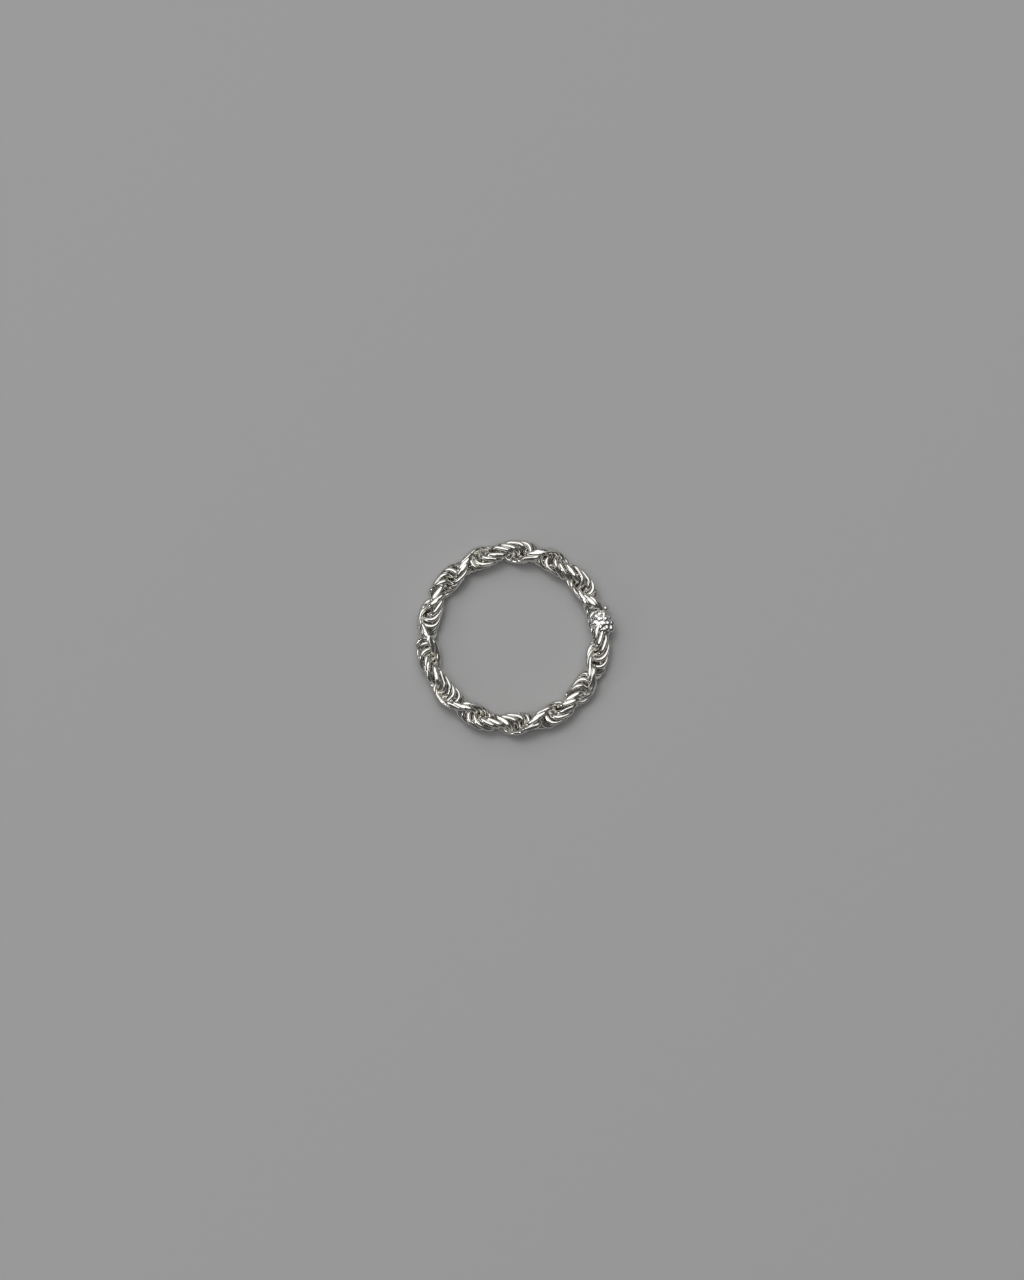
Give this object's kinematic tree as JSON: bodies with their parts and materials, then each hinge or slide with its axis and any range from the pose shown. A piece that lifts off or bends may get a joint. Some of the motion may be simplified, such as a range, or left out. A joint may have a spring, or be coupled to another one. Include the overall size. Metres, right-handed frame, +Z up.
{
  "type": "rope twist ring",
  "caption": "Finger ring made of a closed rope of small round wire links, each through its neighbours and turned a little further, soldered at one place.",
  "frame": {"origin": "under the middle of the ring's bounding box, on the surface that the ring lies on", "axes": "+Z up along the ring's axis; seen from above, +X to the picture's right and +Y to its top, with the solder joint 11 degrees from +X towards +Y"},
  "size_m": [0.0222, 0.0224, 0.0025],
  "materials": {
    "silver": "polished sterling silver",
    "solder": "bright silver solder, left as it ran"
  },
  "bodies": {
    "root": {"rope_links": "silver", "solder_joint": "solder"}
  },
  "joints": []
}
